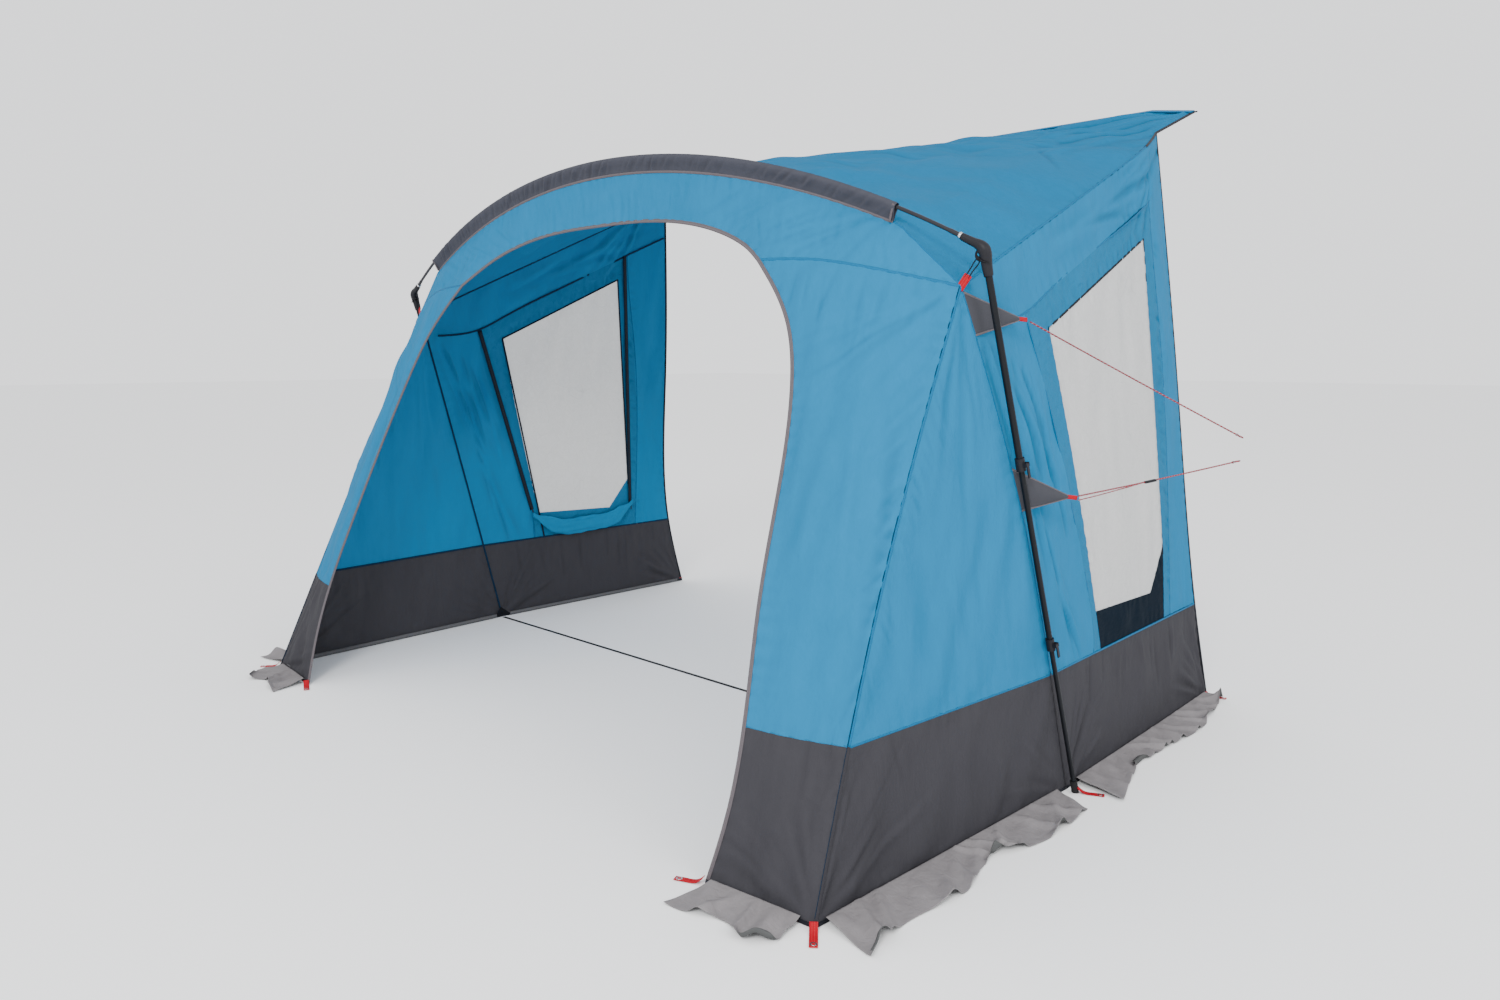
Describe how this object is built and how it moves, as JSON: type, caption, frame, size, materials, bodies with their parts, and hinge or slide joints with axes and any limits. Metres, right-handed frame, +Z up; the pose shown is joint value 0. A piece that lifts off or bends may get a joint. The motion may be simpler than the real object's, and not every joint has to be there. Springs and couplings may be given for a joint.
{
  "type": "tunnel tent",
  "caption": "Awning tent with a leaning fibreglass arch on telescopic legs, an arched open doorway, side windows, ground skirts and a beaded rear roof edge.",
  "frame": {"origin": "on the ground, in the middle of the footprint", "axes": "+Z up, +Y from the doorway to the vehicle side, +X to the right seen from the doorway"},
  "size_m": [4.259, 2.92, 2.508],
  "materials": {
    "arch_pole": "satin",
    "steel_tube": "satin",
    "bright_steel": "satin",
    "black_plastic": "matte",
    "rubber_foot": "matte",
    "blue_fabric": "woven, matte",
    "grey_fabric": "woven, matte",
    "mudwall_fabric": "coated, matte",
    "skirt_fabric": "coated, matte",
    "window_film": "clear",
    "red_webbing": "woven",
    "black_webbing": "woven",
    "guy_cord": "braided",
    "zip_plastic": "matte"
  },
  "bodies": {
    "root": {"arch_pole_right": "arch_pole", "arch_pole_centre": "arch_pole", "arch_pole_left": "arch_pole", "pole_ferrules": "bright_steel", "shock_cord": "black_webbing", "pole_sleeve": "grey_fabric", "roof_panel": "blue_fabric", "brow_panel": "blue_fabric", "door_binding": "grey_fabric", "window_zips": "zip_plastic", "peg_loops": "red_webbing", "peg_eyelets": "bright_steel", "guy_tabs": "grey_fabric", "red_tabs": "red_webbing", "elbow_elastics": "black_webbing", "ground_strap": "black_webbing", "roof_keder": "black_plastic", "elbow_right": "black_plastic", "leg_upper_tube_right": "steel_tube", "clamp_upper_right": "black_plastic", "front_panel_right": "blue_fabric", "front_panel_head_right": "blue_fabric", "side_front_right": "blue_fabric", "side_rear_right": "blue_fabric", "window_film_right": "window_film", "mudwall_right": "mudwall_fabric", "skirt_right": "skirt_fabric", "window_blind_right": "blue_fabric", "guy_line_upper_right": "guy_cord", "guy_line_lower_right": "guy_cord", "elbow_left": "black_plastic", "leg_upper_tube_left": "steel_tube", "clamp_upper_left": "black_plastic", "front_panel_left": "blue_fabric", "front_panel_head_left": "blue_fabric", "side_front_left": "blue_fabric", "side_rear_left": "blue_fabric", "window_film_left": "window_film", "mudwall_left": "mudwall_fabric", "skirt_left": "skirt_fabric", "window_blind_left": "blue_fabric", "guy_line_upper_left": "guy_cord", "guy_line_lower_left": "guy_cord"},
    "leg_middle_right": {"leg_middle_tube_right": "steel_tube", "clamp_lower_right": "black_plastic"},
    "leg_lower_right": {"leg_lower_tube_right": "steel_tube", "foot_plug_right": "rubber_foot"},
    "upper_lever_right": {"lever_upper_right": "black_plastic"},
    "lower_lever_right": {"lever_lower_right": "black_plastic"},
    "front_slider_right": {"zip_slider_front_right": "black_plastic"},
    "rear_slider_right": {"zip_slider_rear_right": "black_plastic"},
    "tensioner_right": {"guy_tensioner_right": "black_plastic"},
    "leg_middle_left": {"leg_middle_tube_left": "steel_tube", "clamp_lower_left": "black_plastic"},
    "leg_lower_left": {"leg_lower_tube_left": "steel_tube", "foot_plug_left": "rubber_foot"},
    "upper_lever_left": {"lever_upper_left": "black_plastic"},
    "lower_lever_left": {"lever_lower_left": "black_plastic"},
    "front_slider_left": {"zip_slider_front_left": "black_plastic"},
    "rear_slider_left": {"zip_slider_rear_left": "black_plastic"},
    "tensioner_left": {"guy_tensioner_left": "black_plastic"}
  },
  "joints": [
    {"name": "middle_leg_slide_right", "type": "slide", "parent": "root", "child": "leg_middle_right", "axis": [-0.061, -0.2709, 0.9607], "range_m": [0, 0.45]},
    {"name": "lower_leg_slide_right", "type": "slide", "parent": "leg_middle_right", "child": "leg_lower_right", "axis": [-0.061, -0.2709, 0.9607], "range_m": [0, 0.45]},
    {"name": "upper_clamp_lever_right", "type": "hinge", "parent": "root", "child": "upper_lever_right", "pos_m": [1.73828, -0.28765, 1.16177], "axis": [0, -0.9625, -0.2714], "range_deg": [0, 110]},
    {"name": "lower_clamp_lever_right", "type": "hinge", "parent": "leg_middle_right", "child": "lower_lever_right", "pos_m": [1.77539, -0.11613, 0.55358], "axis": [0, -0.9625, -0.2714], "range_deg": [0, 110]},
    {"name": "front_zip_slide_right", "type": "slide", "parent": "root", "child": "front_slider_right", "axis": [-0.0878, -0.3353, 0.938], "range_m": [0, 1.064]},
    {"name": "rear_zip_slide_right", "type": "slide", "parent": "root", "child": "rear_slider_right", "axis": [-0.0798, -0.0685, 0.9945], "range_m": [0, 1.509]},
    {"name": "guy_tensioner_slide_right", "type": "slide", "parent": "root", "child": "tensioner_right", "axis": [0.5656, 0.8059, 0.175], "range_m": [-0.05, 0.05]},
    {"name": "middle_leg_slide_left", "type": "slide", "parent": "root", "child": "leg_middle_left", "axis": [0.061, -0.2709, 0.9607], "range_m": [0, 0.45]},
    {"name": "lower_leg_slide_left", "type": "slide", "parent": "leg_middle_left", "child": "leg_lower_left", "axis": [0.061, -0.2709, 0.9607], "range_m": [0, 0.45]},
    {"name": "upper_clamp_lever_left", "type": "hinge", "parent": "root", "child": "upper_lever_left", "pos_m": [-1.73828, -0.28765, 1.16177], "axis": [0, 0.9625, 0.2714], "range_deg": [0, 110]},
    {"name": "lower_clamp_lever_left", "type": "hinge", "parent": "leg_middle_left", "child": "lower_lever_left", "pos_m": [-1.77539, -0.11613, 0.55358], "axis": [0, 0.9625, 0.2714], "range_deg": [0, 110]},
    {"name": "front_zip_slide_left", "type": "slide", "parent": "root", "child": "front_slider_left", "axis": [0.0878, -0.3353, 0.938], "range_m": [0, 1.064]},
    {"name": "rear_zip_slide_left", "type": "slide", "parent": "root", "child": "rear_slider_left", "axis": [0.0798, -0.0685, 0.9945], "range_m": [0, 1.509]},
    {"name": "guy_tensioner_slide_left", "type": "slide", "parent": "root", "child": "tensioner_left", "axis": [-0.5656, 0.8059, 0.175], "range_m": [-0.05, 0.05]}
  ]
}
